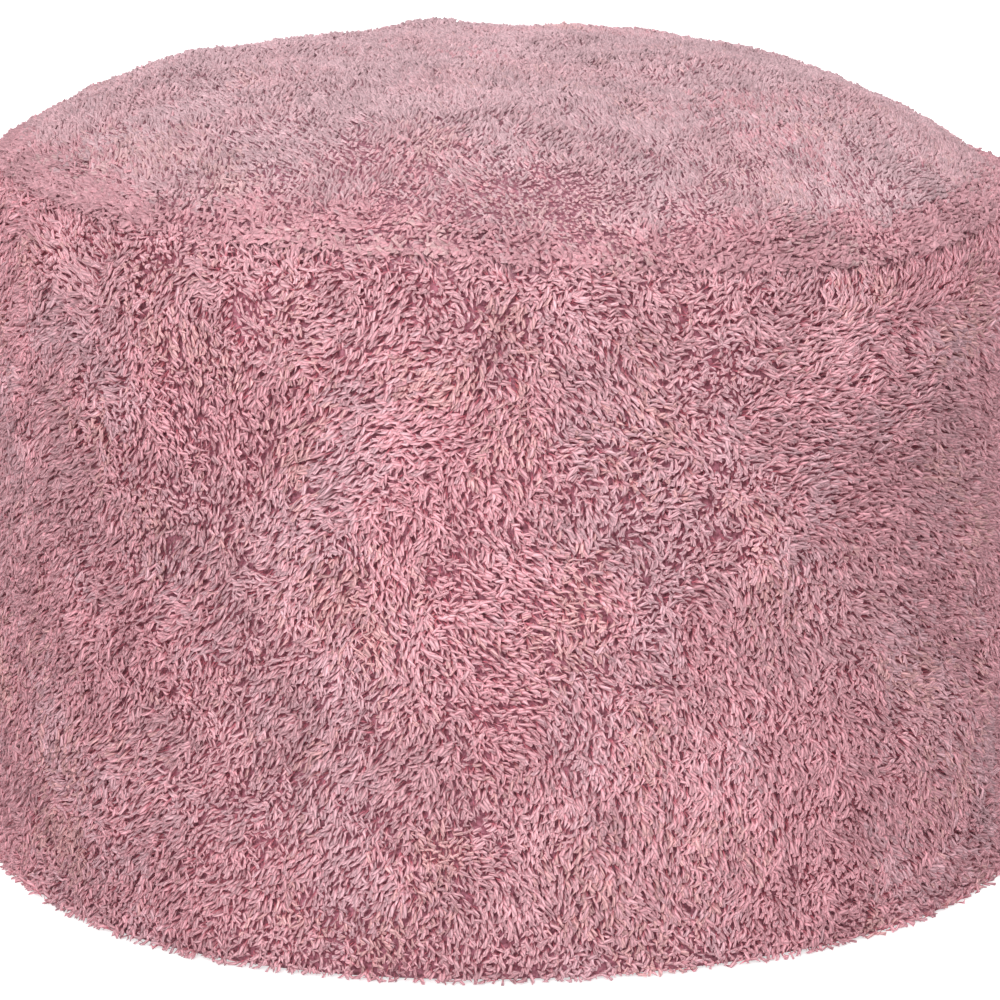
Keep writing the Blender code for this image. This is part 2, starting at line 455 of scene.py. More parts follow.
@dataclass(frozen=True)
class YarnFinish:
    """Dyed cotton yarn of a few plies. A colour is a linear red, green and blue.

    Most yarns are of the main colour, and patches of the pile are cooler, warmer or deeper. The root colour is
    painted shade: it is laid over the lower part of every yarn, where the others would shade it.
    """

    name: str
    main: Colour
    cool: Colour
    warm: Colour
    deep: Colour
    # Painted shade at the yarn's root
    root: Colour = (0.85, 0.385, 0.465)
    dull: float = 0.66
    bright: float = 1.12
    twists: float = 2.2
    plies: float = 3.0
    # How far the grooves between the plies are darkened, as painted shade
    ply_groove_shade: float = 0.46
    fibre_depth: float = 0.45
    bump: float = 0.5
    bump_reach: float = 0.00015
    roughness: float = 0.82
    gloss: float = 0.04
    sheen: float = 0.02
    sheen_spread: float = 0.45
    sheen_tint: Colour = (1.0, 0.72, 0.78)

    def material(self) -> bpy.types.Material:
        """Return the material."""
        material = new_material(self.name, {
            "Roughness": self.roughness,
            "Specular IOR Level": self.gloss,
            "Sheen Weight": self.sheen,
            "Sheen Roughness": self.sheen_spread,
            "Sheen Tint": self.sheen_tint,
        })
        place = material.node_tree.nodes.new("ShaderNodeUVMap")
        place.uv_map = PILE_MAP
        dress(material, yarn_group(), place.outputs["UV"], {
            "Main": self.main,
            "Cool": self.cool,
            "Warm": self.warm,
            "Deep": self.deep,
            "Root": self.root,
            "Dull": self.dull,
            "Bright": self.bright,
            "Twists": self.twists,
            "Plies": self.plies,
            "Ply Groove Shade": self.ply_groove_shade,
            "Fibre Depth": self.fibre_depth,
        }, self.bump, self.bump_reach)
        return material


@dataclass(frozen=True)
class ClothFinish:
    """Plain woven cloth with slubs. A colour is a linear red, green and blue."""

    name: str
    light: Colour
    dark: Colour
    threads: float = 900.0
    slubs: float = 60.0
    slub_share: float = 0.7
    roughness: float = 0.9
    sheen: float = 0.15
    bump: float = 0.4
    bump_reach: float = 0.0004

    def material(self) -> bpy.types.Material:
        """Return the material."""
        material = new_material(self.name, {"Roughness": self.roughness, "Sheen Weight": self.sheen})
        place = material.node_tree.nodes.new("ShaderNodeTexCoord")
        dress(material, weave_group(), place.outputs["Object"], {
            "Light": self.light,
            "Dark": self.dark,
            "Threads": self.threads,
            "Slubs": self.slubs,
            "Slub Share": self.slub_share,
        }, self.bump, self.bump_reach)
        return material


def new_group(name: str, colours: tuple[str, ...], numbers: tuple[str, ...]) -> bpy.types.NodeTree:
    """Return a new shader group that takes a Place and puts out a Colour and a Height.

    Args:
        name: the group's name.
        colours: names of the colours that it takes.
        numbers: names of the numbers that it takes.

    Returns:
        The group, with its input and output nodes named "in" and "out".
    """
    group = bpy.data.node_groups.new(name, "ShaderNodeTree")
    taken = {"Place": "Vector"} | dict.fromkeys(colours, "Color") | dict.fromkeys(numbers, "Float")
    for direction, sockets in (("INPUT", taken), ("OUTPUT", {"Colour": "Color", "Height": "Float"})):
        for label, kind in sockets.items():
            group.interface.new_socket(name=label, in_out=direction, socket_type="NodeSocket" + kind)
    group.nodes.new("NodeGroupInput").name = "in"
    group.nodes.new("NodeGroupOutput").name = "out"
    return group


@dataclass
class GroupMaker:
    """Adds nodes to a shader group in few words."""

    group: bpy.types.NodeTree

    def add(self, kind: str, values: dict[str, object]) -> bpy.types.Node:
        """Add a node, feed its inputs by name and return it."""
        node = self.group.nodes.new(kind)
        for label, value in values.items():
            self.feed(value, node.inputs[label])
        return node

    def maths(self, operation: str, *values: object) -> bpy.types.NodeSocket:
        """Add a Math node on numbers or sockets and return its output."""
        node = self.group.nodes.new("ShaderNodeMath")
        node.operation = operation
        for socket, value in zip(node.inputs, values):
            self.feed(value, socket)
        return node.outputs["Value"]

    def mix(self, kind: str, share: object, first: object, second: object) -> bpy.types.NodeSocket:
        """Add a colour Mix node of a kind and return its output."""
        node = self.group.nodes.new("ShaderNodeMix")
        node.data_type = "RGBA"
        node.blend_type = kind
        node.clamp_factor = True
        self.feed(share, node.inputs["Factor"])
        self.feed(first, node.inputs[COLOUR_A])
        self.feed(second, node.inputs[COLOUR_B])
        return node.outputs[COLOUR_RESULT]

    def feed(self, value: object, socket: bpy.types.NodeSocket) -> None:
        """Link a socket, or set it to a number or a colour."""
        if isinstance(value, bpy.types.NodeSocket):
            self.group.links.new(value, socket)
        else:
            socket.default_value = value

    def put_out(self, colour: bpy.types.NodeSocket, height: bpy.types.NodeSocket) -> bpy.types.NodeTree:
        """Link the group's Colour and Height and return the group."""
        self.feed(colour, self.group.nodes["out"].inputs["Colour"])
        self.feed(height, self.group.nodes["out"].inputs["Height"])
        return self.group


def yarn_group() -> bpy.types.NodeTree:
    """Return the group that turns a place on the pile's map into a colour and the ply's relief.

    The map is a small atlas. Across, it has a band for each tint, and a band runs once round the yarn.
    Upwards, it has a band for each dye, and a band runs from the yarn's root to its tip.
    """
    if "pile_yarn" in bpy.data.node_groups:
        return bpy.data.node_groups["pile_yarn"]
    group = new_group("pile_yarn", ("Main", "Cool", "Warm", "Deep", "Root"),
                      ("Dull", "Bright", "Twists", "Plies", "Ply Groove Shade", "Fibre Depth"))
    make = GroupMaker(group)
    given = group.nodes["in"].outputs
    split = make.add("ShaderNodeSeparateXYZ", {"Vector": given["Place"]})
    dyed = given["Main"]
    for dye in list(Dye)[1:]:
        beyond = make.maths("GREATER_THAN", split.outputs["Y"], dye.value / len(Dye))
        dyed = make.mix("MIX", beyond, dyed, given[dye.name.title()])
    across = make.maths("MULTIPLY", split.outputs["X"], float(TINTS))
    upwards = make.maths("MULTIPLY", split.outputs["Y"], float(len(Dye)))
    tint = make.maths("DIVIDE", make.maths("FLOOR", across), TINTS - 1.0)
    around = make.maths("FRACT", across)
    along = make.maths("FRACT", upwards)
    turned = make.maths("MULTIPLY", around, make.maths("DIVIDE", given["Plies"], 1.0 - 2.0 * BAND_MARGIN))
    phase = make.maths("MULTIPLY_ADD", along, given["Twists"], turned)
    wave = make.maths("MULTIPLY_ADD", make.maths("SINE", make.maths("MULTIPLY", phase, math.tau)), 0.5, 0.5)
    ply = make.maths("POWER", wave, 0.7)
    spot = make.add("ShaderNodeCombineXYZ", {
        "X": make.maths("MULTIPLY", around, 7.0),
        "Y": make.maths("MULTIPLY", along, 9.0),
        "Z": make.maths("ADD", make.maths("FLOOR", across), make.maths("FLOOR", upwards)),
    })
    fibre = make.add("ShaderNodeTexNoise", {"Vector": spot.outputs["Vector"], "Scale": 1.0, "Detail": 3.0})
    range_of_tints = make.maths("SUBTRACT", given["Bright"], given["Dull"])
    level = make.maths("MULTIPLY_ADD", range_of_tints, tint, given["Dull"])
    # Painted shade in the grooves between the plies; the same wave is also the relief of the bump
    groove = make.maths("MULTIPLY", given["Ply Groove Shade"], make.maths("SUBTRACT", 1.0, ply))
    level = make.maths("MULTIPLY", level, make.maths("SUBTRACT", 1.0, groove))
    fuzz = make.maths("SUBTRACT", fibre.outputs["Fac"], 0.5)
    level = make.maths("MULTIPLY", level, make.maths("MULTIPLY_ADD", fuzz, given["Fibre Depth"], 1.0))
    grey = make.add("ShaderNodeCombineColor", {"Red": level, "Green": level, "Blue": level})
    lit = make.mix("MULTIPLY", 1.0, dyed, grey.outputs["Color"])
    # Painted shade: the root colour darkens the yarn's lower part and fades out up its length
    root_shade_fade = make.add("ShaderNodeMapRange", {"Value": along, "From Min": 0.15, "From Max": 0.80})
    root_shade_fade.interpolation_type = "SMOOTHSTEP"
    shaded = make.mix("MULTIPLY", 1.0, lit, given["Root"])
    return make.put_out(make.mix("MIX", root_shade_fade.outputs["Result"], shaded, lit), ply)


def weave_group() -> bpy.types.NodeTree:
    """Return the group that draws a plain weave on the X and Y of an object."""
    if "plain_weave" in bpy.data.node_groups:
        return bpy.data.node_groups["plain_weave"]
    group = new_group("plain_weave", ("Light", "Dark"), ("Threads", "Slubs", "Slub Share"))
    make = GroupMaker(group)
    given = group.nodes["in"].outputs
    split = make.add("ShaderNodeSeparateXYZ", {"Vector": given["Place"]})
    scale = make.maths("MULTIPLY", given["Threads"], math.pi)
    warp = make.maths("SINE", make.maths("MULTIPLY", split.outputs["X"], scale))
    weft = make.maths("SINE", make.maths("MULTIPLY", split.outputs["Y"], scale))
    over = make.maths("MULTIPLY_ADD", make.maths("MULTIPLY", warp, weft), 0.5, 0.5)
    slub = make.add("ShaderNodeTexNoise", {"Vector": given["Place"], "Scale": given["Slubs"], "Detail": 4.0})
    patch = slub.outputs["Fac"]
    spread = make.add("ShaderNodeMapRange", {"Value": patch, "From Min": 0.35, "From Max": 0.65})
    rest = make.maths("MULTIPLY", over, make.maths("SUBTRACT", 1.0, given["Slub Share"]))
    share = make.maths("MULTIPLY_ADD", spread.outputs["Result"], given["Slub Share"], rest)
    return make.put_out(make.mix("MIX", share, given["Dark"], given["Light"]), over)


# Yarn

@dataclass(frozen=True)
class YarnCut:
    """How one kind of yarn is cut: its width at the root, the bend and the tip, and the slant of its end.

    The root itself is drawn in to a point. A tip of 0 makes a yarn that ends in a point too.
    """

    name: str
    root: float
    bend: float
    tip: float
    slant: float
    flat: float = 0.86


@dataclass
class YarnTemplate:
    """One modelled yarn, standing on the origin, one long and one wide: points, corners and their map."""

    points: Array
    corners: Array
    sizes: Array
    around: Array
    along: Array


YARN_CUTS = (
    YarnCut("blunt", 0.95, 1.00, 0.90, 0.05),
    YarnCut("frayed", 0.90, 0.96, 1.08, 0.08),
    YarnCut("slim", 0.86, 0.90, 0.72, 0.12, 0.84),
    YarnCut("plump", 1.00, 1.12, 0.94, 0.07, 0.92),
)
WISP_CUTS = (
    YarnCut("wisp", 1.00, 1.12, 0.00, 0.00),
    YarnCut("thin_wisp", 1.00, 0.92, 0.00, 0.00, 0.92),
)


@dataclass(frozen=True)
class YarnModeller:
    """Models a yarn of three sides that grows from a point, with or without a bend, once for each cut."""

    sides: int = 3
    bent: bool = True
    bend_at: float = 0.66
    near: ClassVar[float] = 0.01

    def model(self, cut: YarnCut) -> YarnTemplate:
        """Model one yarn.

        Args:
            cut: its widths.

        Returns:
            The yarn as arrays, ready to be laid many times.
        """
        deselect_all()
        bpy.ops.mesh.primitive_cylinder_add(
            vertices=self.sides, radius=0.5, depth=1.0, end_fill_type="NOTHING", location=(0.0, 0.0, 0.5))
        yarn = bpy.context.object
        bpy.ops.object.transform_apply(location=True, rotation=False, scale=False)
        bpy.ops.object.mode_set(mode="EDIT")
        widths = [(0.0, cut.root)]
        if cut.tip:
            widths.append((1.0, cut.tip))
        if self.bent:
            bpy.ops.mesh.select_all(action="SELECT")
            bpy.ops.mesh.bisect(plane_co=(0.0, 0.0, self.bend_at), plane_no=(0.0, 0.0, 1.0))
            widths.append((self.bend_at, cut.bend))
        for height, width in widths:
            select_points(yarn, lambda place, at=height: abs(place.z - at) < self.near)
            bpy.ops.transform.resize(value=(width, width * cut.flat, 1.0), center_override=(0.0, 0.0, height))
        select_points(yarn, lambda place: place.z < self.near)
        bpy.ops.mesh.merge(type="CENTER")
        select_points(yarn, lambda place: place.z > 1.0 - self.near)
        if cut.tip:
            bpy.ops.mesh.edge_face_add()
            select_points(yarn, lambda place: place.z > 1.0 - self.near and place.x > 0.1)
            bpy.ops.transform.translate(value=(0.0, 0.0, cut.slant))
        else:
            bpy.ops.mesh.merge(type="CENTER")
        face_outwards()
        template = self.read(yarn.data)
        bpy.data.objects.remove(yarn, do_unlink=True)
        return template

    @staticmethod
    def read(mesh: bpy.types.Mesh) -> YarnTemplate:
        """Return a modelled yarn as arrays, each corner with its share of the way round and along it."""
        points = np.array([point.co[:] for point in mesh.vertices])
        corners, sizes, around, along = [], [], [], []
        for face in mesh.polygons:
            sizes.append(len(face.vertices))
            on_end = abs(face.normal.z) > 0.7
            middle = 0.0 if on_end else math.atan2(face.center.y, face.center.x)
            for corner in face.vertices:
                x, y, z = points[corner]
                turn = middle
                if math.hypot(x, y) > 0.05:
                    turn += math.remainder(math.atan2(y, x) - middle, math.tau)
                corners.append(corner)
                around.append(0.5 + 0.3 * turn / math.pi if on_end else turn / math.tau)
                along.append(0.97 + 0.03 * math.cos(turn) if on_end else min(z, 1.0))
        # The map starts at the lowest share, so that no face runs out of its band
        around = np.array(around) - min(around)
        around /= around.max()
        return YarnTemplate(points, np.array(corners), np.array(sizes), around, np.array(along))


@dataclass
class Lay:
    """How each yarn of a pile lies. Every array has one row or value a yarn.

    comb is the way that it is brushed, lean its angle from upright in radians, spin its turn round its own
    length, and curl how far it bends out of the way of its comb. dye and tint choose its colour.
    """

    root: Array
    normal: Array
    comb: Array
    lean: Array
    length: Array
    width: Array
    spin: Array
    curl: Array
    dye: Array
    tint: Array


class Comb(Enum):
    """Which way a panel's pile is brushed."""

    DOWN = "down the side"
    OUT = "out from the middle"


@dataclass(frozen=True)
class Stroke:
    """One place where a hand has gone over the side's pile, as the front shows it.

    The angle is a direction round the pouf in degrees, with -90 at the front. The height and reach are in
    metres. down and right say which way the pile is pushed, lean adds degrees of lean, and pale adds to
    the tint, mostly as painted sheen where the stroke lays the pile flatter and painted shade where it stands
    it up.
    """

    angle: float
    height: float
    reach: float
    down: float
    right: float
    lean: float
    pale: float


STROKES = (
    Stroke(-91.0, 0.150, 0.050, 0.20, 0.80, 9.0, 0.15),
    Stroke(-72.0, 0.075, 0.060, 0.90, 0.00, 5.0, 0.04),
    Stroke(-124.0, 0.245, 0.050, 0.60, 0.70, 4.0, 0.00),
    Stroke(-103.0, 0.250, 0.045, 0.20, -0.80, 5.0, 0.06),
    Stroke(-80.0, 0.262, 0.040, 0.50, 0.40, 2.0, 0.03),
    Stroke(-118.0, 0.060, 0.055, 0.20, 0.10, -12.0, -0.05),
    Stroke(-104.0, 0.110, 0.045, 0.40, -0.60, 4.0, 0.04),
    Stroke(-36.0, 0.180, 0.085, 0.30, 0.40, -16.0, -0.22),
    Stroke(-55.0, 0.250, 0.045, -0.20, 0.80, 3.0, 0.02),
    Stroke(-58.0, 0.150, 0.040, 0.80, -0.30, 2.0, -0.04),
    Stroke(-143.0, 0.170, 0.065, 0.50, 0.30, -10.0, -0.16),
    Stroke(-165.0, 0.220, 0.060, 0.60, 0.00, 0.0, 0.08),
)


@dataclass(frozen=True)
class Dyeing:
    """How the four dyes and their tints lie over the pile. A patch or fleck is a spacing in metres."""

    warm_patch: float = 0.030
    warm_fleck: float = 0.013
    warm_from: float = 0.60
    cool_patch: float = 0.034
    cool_fleck: float = 0.012
    cool_from: float = 0.52
    deep_patch: float = 0.050
    deep_from: float = 0.30
    fleck_share: float = 0.5
    scatter: float = 0.30
    tint_patch: float = 0.018
    patch_tint: float = 0.10
    clump_tint: float = 0.24
    yarn_tint: float = 0.15

    def of(self, place: Array, clump: Array, grey: Array, rosy: Array,
           chance: np.random.Generator) -> tuple[Array, Array]:
        """Dye the yarns.

        Args:
            place: where the yarns are.
            clump: names of the clumps that they stand in.
            grey: how much more of the cool dye shows, one value a yarn.
            rosy: how much more of the deep dye shows, one value a yarn.
            chance: the panel's random numbers.

        Returns:
            Each yarn's dye, as its number, and its tint, 0 to 1.
        """
        count = len(place)
        warm = smooth_noise(place, self.warm_patch, 301)
        warm += self.fleck_share * smooth_noise(place, self.warm_fleck, 302)
        cool = smooth_noise(place, self.cool_patch, 303)
        cool += self.fleck_share * smooth_noise(place, self.cool_fleck, 304)
        warm += chance.normal(0.0, self.scatter, count)
        cool += chance.normal(0.0, self.scatter, count) + grey
        deep = smooth_noise(place, self.deep_patch, 305) + chance.normal(0.0, self.scatter, count) + rosy
        dye = np.select([cool > self.cool_from, warm > self.warm_from, deep > self.deep_from],
                        [Dye.COOL.value, Dye.WARM.value, Dye.DEEP.value], Dye.MAIN.value)
        tint = 0.50 + self.patch_tint * smooth_noise(place, self.tint_patch, 306)
        tint += self.clump_tint * (hashed(clump, 307) - 0.5)
        return dye, tint + chance.normal(0.0, self.yarn_tint, count)


DYEING = Dyeing()


@dataclass(frozen=True)
class PileSizes:
    """Sizes of one panel's pile, in metres and degrees, and the shares in which it is ruffled.

    spacing, length, width and depth are those of the yarns and of the layer that they make. The pile is
    ruffled by swirls, by smaller cowlicks and by tufts, whose yarns pinch together.
    """

    spacing: float = 0.00210
    length: float = 0.0104
    width: float = 0.00192
    depth: float = 0.0062
    least_lean: float = 34.0
    most_lean: float = 70.0
    swirl: float = 0.050
    swirl_force: float = 0.55
    cowlick: float = 0.016
    cowlick_force: float = 0.85
    tuft: float = 0.0070
    tuft_force: float = 0.30
    pinch: float = 0.15
    curl: float = 0.85
    heave: float = 0.0013
    rim_growth: float = 0.30
    brush: float = 0.40
    stray: float = 0.12
    grey: float = 0.0
    patchy: float = 13.0
    spin: float = math.pi
    spin_spread: float = 0.35
    soften: float = 0.50


@dataclass
class PilePanel:
    """The pile of one panel, laid as joined yarns and split into a few pieces."""

    name: str
    slot: str
    comb: Comb
    form: DrumForm
    sizes: PileSizes
    templates: list[YarnTemplate]
    seed: int
    parts: int
    pieces: list[bpy.types.Object] = field(default_factory=list)
    twist: ClassVar[float] = 0.35
    tip_turn: ClassVar[float] = 0.45
    jitter: ClassVar[float] = 0.42
    row_jitter: ClassVar[float] = 0.45
    full_force: ClassVar[float] = 1.25
    flat_patch: ClassVar[float] = 0.024
    pale_patch: ClassVar[float] = 0.038
    rim_zone: ClassVar[float] = 0.035
    rim_fade: ClassVar[float] = 0.030
    hem_zone: ClassVar[float] = 0.028
    seam_zone: ClassVar[float] = 0.014
    grey_sheen_zone: ClassVar[float] = 0.12
    side_edge_shade: ClassVar[float] = 0.90
    rim_rosy: ClassVar[float] = 1.9
    dome_rosy: ClassVar[float] = -0.4
    counter_curl: ClassVar[float] = 1.6
    floor_gap: ClassVar[float] = 0.0005

    def build(self, material: bpy.types.Material) -> None:
        """Lay the yarns and make the pieces."""
        chance = np.random.default_rng(self.seed)
        angle, way = self.places(chance)
        lay = self.lie(angle, way, chance)
        sector = ((angle % math.tau) / math.tau * self.parts).astype(int) % self.parts
        for number in range(self.parts):
            picked = np.nonzero(sector == number)[0]
            piece = self.joined(f"{self.name}_{number + 1}", lay, picked, chance)
            finish_piece(piece, material)
            self.pieces.append(piece)

    def places(self, chance: np.random.Generator) -> tuple[Array, Array]:
        """Return where the yarns are tufted: rows across the cloth with a little scatter."""
        step = self.sizes.spacing
        if self.comb is Comb.DOWN:
            columns = int(round(math.tau * self.form.side_radius / step))
            rows = int(round(self.form.side_length / step))
            column, row = np.meshgrid(np.arange(columns), np.arange(rows))
            column, row = column.ravel().astype(float), row.ravel().astype(float)
            row = row + 0.5 * (column % 2)
            column = column + chance.uniform(-self.jitter, self.jitter, len(column))
            row = row + chance.uniform(-self.row_jitter, self.row_jitter, len(row))
            angle = column / columns * math.tau
            way = np.clip(row * step, 0.0, self.form.side_length)
            return angle, way
        reach = self.form.top_length
        count = int(reach / step) + 1
        across, deep = np.meshgrid(np.arange(-count, count + 1), np.arange(-count, count + 1))
        across, deep = across.ravel().astype(float), deep.ravel().astype(float)
        across = (across + 0.5 * (deep % 2) + chance.uniform(-self.jitter, self.jitter, len(across))) * step
        deep = (deep + chance.uniform(-self.jitter, self.jitter, len(deep))) * step
        way = np.hypot(across, deep)
        kept = way < reach
        return np.arctan2(deep[kept], across[kept]), way[kept]

    def lie(self, angle: Array, way: Array, chance: np.random.Generator) -> Lay:
        """Decide how each yarn lies.

        Args:
            angle: direction of each root.
            way: way of each root along the section.
            chance: the panel's random numbers.

        Returns:
            The lie of every yarn.
        """
        sizes = self.sizes
        on_side = self.comb is Comb.DOWN
        surface = self.form.side if on_side else self.form.top
        limit = self.form.side_length if on_side else self.form.top_length
        place = surface(angle, way)
        normal = self.form.normals(surface, angle, way, limit)
        around = np.stack([-np.sin(angle), np.cos(angle), np.zeros(len(angle))], axis=1)
        brushed = unit(np.cross(around, normal))
        if on_side:
            facing = -brushed[:, 2]
            hem = np.clip(1.0 - (limit - way) / self.hem_zone, 0.0, 1.0)
            edge = np.zeros(len(way))
        else:
            facing = np.einsum("ij,ij->i", brushed[:, :2], heading(angle))
            edge = np.clip((way - (limit - self.rim_zone)) / self.rim_fade, 0.0, 1.0)
            hem = np.zeros(len(way))
        brushed = np.where(facing[:, None] < 0.0, -brushed, brushed)
        sideways = unit(np.cross(normal, brushed))
        down_share, side_share = self.brushing(place, way, edge)
        pull, clump = nearest_clump(place, sizes.tuft, self.seed + 31)
        turn = hashed(clump, self.seed + 7) * math.tau
        down_share += sizes.tuft_force * np.cos(turn)
        side_share += sizes.tuft_force * np.sin(turn)
        flow = brushed * down_share[:, None] + sideways * side_share[:, None]
        flow += (pull - normal * np.einsum("ij,ij->i", pull, normal)[:, None]) / sizes.tuft * sizes.pinch
        force = np.linalg.norm(flow, axis=1)
        pressed = np.clip(force / self.full_force, 0.0, 1.0)
        lean = sizes.least_lean + (sizes.most_lean - sizes.least_lean) * pressed
        # The pile lies flat in some patches and stands parted in others. The paleness is painted sheen where
        # it lies flat and painted shade where it is parted; apart from that, the tone differs at random in
        # larger patches.
        flattened = smooth_noise(place, self.flat_patch, self.seed + 17)
        lean += 6.0 * smooth_noise(place, 0.055, self.seed + 15) + chance.normal(0.0, 6.0, len(lean))
        lean += sizes.patchy * flattened
        pale = 0.14 * smooth_noise(place, self.pale_patch, 308) + 0.012 * sizes.patchy * flattened
        for stroke, share in self.strokes(place):
            lean += stroke.lean * share
            pale += stroke.pale * share
        lean = np.radians(np.clip(lean, 4.0, 78.0))
        # Yarns stray more where the panels are sewn together and at the hem
        seam = np.clip(1.0 - (way if on_side else limit - way) / self.seam_zone, 0.0, 1.0)
        stray = sizes.stray * (1.0 + 2.5 * seam + 4.0 * hem)
        comb = unit(flow + chance.normal(0.0, 1.0, flow.shape) * stray[:, None])
        comb = unit(comb - normal * np.einsum("ij,ij->i", comb, normal)[:, None])
        length = sizes.length * (1.0 + chance.normal(0.0, 0.10, len(lean)))
        length *= (1.0 + 0.16 * (hashed(clump, self.seed + 9) - 0.5)) * (1.0 - 0.22 * hem)
        grown = 1.0 + sizes.rim_growth * edge
        length *= grown
        first, second = self.bends(lean)
        half = 0.5 * length
        height = half * (np.cos(first) + np.cos(second))
        # The tips reach the form's surface on the whole, and a tuft stands a little above or below it
        sunk = sizes.depth + 0.50 * (height - sizes.depth)
        sunk += sizes.heave * (hashed(clump, self.seed + 10) - 0.35 - 0.4 * flattened)
        # What shows is a yarn's upper part, so that part is what is spread evenly over the cloth
        reach = half * (np.sin(first) + 0.5 * np.sin(second))
        root = place - normal * sunk[:, None] - comb * reach[:, None]
        # On the top the cool, greyer dye shows more away from the rim, and the rim is dyed deeper and darker
        # rose: partly painted sheen over the open top
        grey = sizes.grey * np.clip((limit - way) / self.grey_sheen_zone, 0.0, 1.0)
        if on_side:
            # Painted shade: the deep dye shows more towards the left and right of the side, as the front sees
            # them
            rosy = self.side_edge_shade * (place[:, 0] / self.form.side_radius) ** 2
        else:
            rosy = self.rim_rosy * edge + self.dome_rosy
        dye, tint = DYEING.of(place, clump, grey - 0.6 * edge, rosy, chance)
        tint = np.clip(tint + pale - 0.16 * edge, 0.02, 0.98)
        curl = sizes.curl * smooth_noise(place, 0.010, self.seed + 18) + chance.normal(0.0, 0.24, len(lean))
        width = sizes.width * grown * (1.0 + chance.normal(0.0, 0.13, len(lean)))
        spin = chance.normal(sizes.spin, sizes.spin_spread, len(lean))
        return Lay(root, normal, comb, lean, length, width, spin, curl, dye, tint)

    @staticmethod
    def bends(lean: Array) -> tuple[Array, Array]:
        """Return the angles of a yarn's lower and upper part from upright, in radians."""
        return 0.50 * lean, np.minimum(1.25 * lean, 1.70)

    def brushing(self, place: Array, way: Array, edge: Array) -> tuple[Array, Array]:
        """Return how strongly each yarn is brushed down (or out) and sideways."""
        sizes = self.sizes
        swirl = [smooth_noise(place, sizes.swirl, self.seed + number) for number in (11, 12)]
        cowlick = [smooth_noise(place, sizes.cowlick, self.seed + number) for number in (13, 14)]
        first = sizes.swirl_force * swirl[0] + sizes.cowlick_force * cowlick[0]
        second = sizes.swirl_force * swirl[1] + sizes.cowlick_force * cowlick[1]
        if self.comb is Comb.OUT:
            # The rim is brushed out, and to one side or the other in turn
            side_to_side = np.where(smooth_noise(place, 0.045, self.seed + 16) > 0.0, 1.0, -1.0)
            first = first * (1.0 - 0.6 * edge) + 0.45 * edge
            return first, second * (1.0 - 0.3 * edge) + 0.5 * edge * side_to_side
        # The lower part hangs down, and the upper part is tousled
        low = np.clip((0.24 - place[:, 2]) / 0.20, 0.0, 1.0)
        first = first * (1.0 - 0.25 * low) + sizes.brush * (0.35 + 0.9 * low)
        second = second * (1.0 - 0.45 * low)
        for stroke, share in self.strokes(place):
            first = first * (1.0 - 0.6 * share) + stroke.down * share
            second = second * (1.0 - 0.6 * share) + stroke.right * share
        # The front right of the shoulder is brushed up against the top
        side = np.arctan2(place[:, 1], place[:, 0])
        ridge = bell(side + 0.45, 0.55) * np.clip(1.0 - way / 0.03, 0.0, 1.0)
        return first - 2.2 * ridge, second

    def strokes(self, place: Array) -> list[tuple[Stroke, Array]]:
        """Return each stroke over this panel with the share of it that every yarn feels."""
        if self.comb is Comb.OUT:
            return []
        side = np.arctan2(place[:, 1], place[:, 0])
        felt = []
        for stroke in STROKES:
            along = turn_from(side, stroke.angle) * self.form.side_radius
            felt.append((stroke, bell(np.hypot(along, place[:, 2] - stroke.height), stroke.reach)))
        return felt

    def joined(self, name: str, lay: Lay, picked: Array, chance: np.random.Generator) -> bpy.types.Object:
        """Return one object of joined yarns.

        Args:
            name: the piece's name.
            lay: how all yarns of the panel lie.
            picked: the rows that go into this piece.
            chance: the panel's random numbers, which deal the cuts out to the yarns.

        Returns:
            The piece, with the pile's map.
        """
        kinds = chance.integers(0, len(self.templates), len(picked))
        points, normals, corners, sizes, maps, offset = [], [], [], [], [], 0
        for kind, template in enumerate(self.templates):
            rows = picked[kinds == kind]
            laid, rounded = self.bend(template, lay, rows)
            count = len(template.points)
            starts = offset + np.arange(len(rows)) * count
            points.append(laid.reshape(-1, 3))
            normals.append(rounded.reshape(-1, 3))
            corners.append((template.corners[None, :] + starts[:, None]).ravel())
            sizes.append(np.tile(template.sizes, len(rows)))
            maps.append(self.map_of(template, lay, rows).reshape(-1, 2))
            offset += len(rows) * count
        return mesh_piece(name, *(np.concatenate(part) for part in (points, normals, corners, sizes, maps)))

    def bend(self, template: YarnTemplate, lay: Lay, rows: Array) -> tuple[Array, Array]:
        """Return the template's points for each yarn, bent over the way it is combed, and their normals.

        A normal is that of a round yarn, turned part of the way to the surface's own, as light that passes
        through cotton softens it.
        """
        normal, comb = lay.normal[rows], lay.comb[rows]
        across = np.cross(normal, comb)
        length = lay.length[rows]
        first, second = self.bends(lay.lean[rows])
        curl = across * lay.curl[rows][:, None]
        lower = unit(normal * np.cos(first)[:, None] + comb * np.sin(first)[:, None] + curl)
        back = self.counter_curl * curl
        upper = unit(normal * np.cos(second)[:, None] + comb * np.sin(second)[:, None] - back)
        middle = unit(lower + upper)
        bend_at = YarnModeller.bend_at
        bend_place = lay.root[rows] + lower * (length * bend_at)[:, None]
        near = YarnModeller.near
        straight = not np.any(np.abs(template.points[:, 2] - bend_at) < near)
        places = np.empty((len(rows), len(template.points), 3))
        rounded = np.empty_like(places)
        for number, (x, y, z) in enumerate(template.points):
            if z < near:
                spine, along = lay.root[rows], middle if straight else lower
            elif z < bend_at + near:
                spine, along = bend_place, middle
            else:
                spine, along = bend_place + upper * (length * (z - bend_at))[:, None], upper
            turn = lay.spin[rows] + self.twist * z
            up = np.cross(along, across)
            sin, cos = np.sin(turn)[:, None], np.cos(turn)[:, None]
            wide = across * (cos * x - sin * y) + up * (sin * x + cos * y)
            places[:, number] = spine + wide * lay.width[rows][:, None]
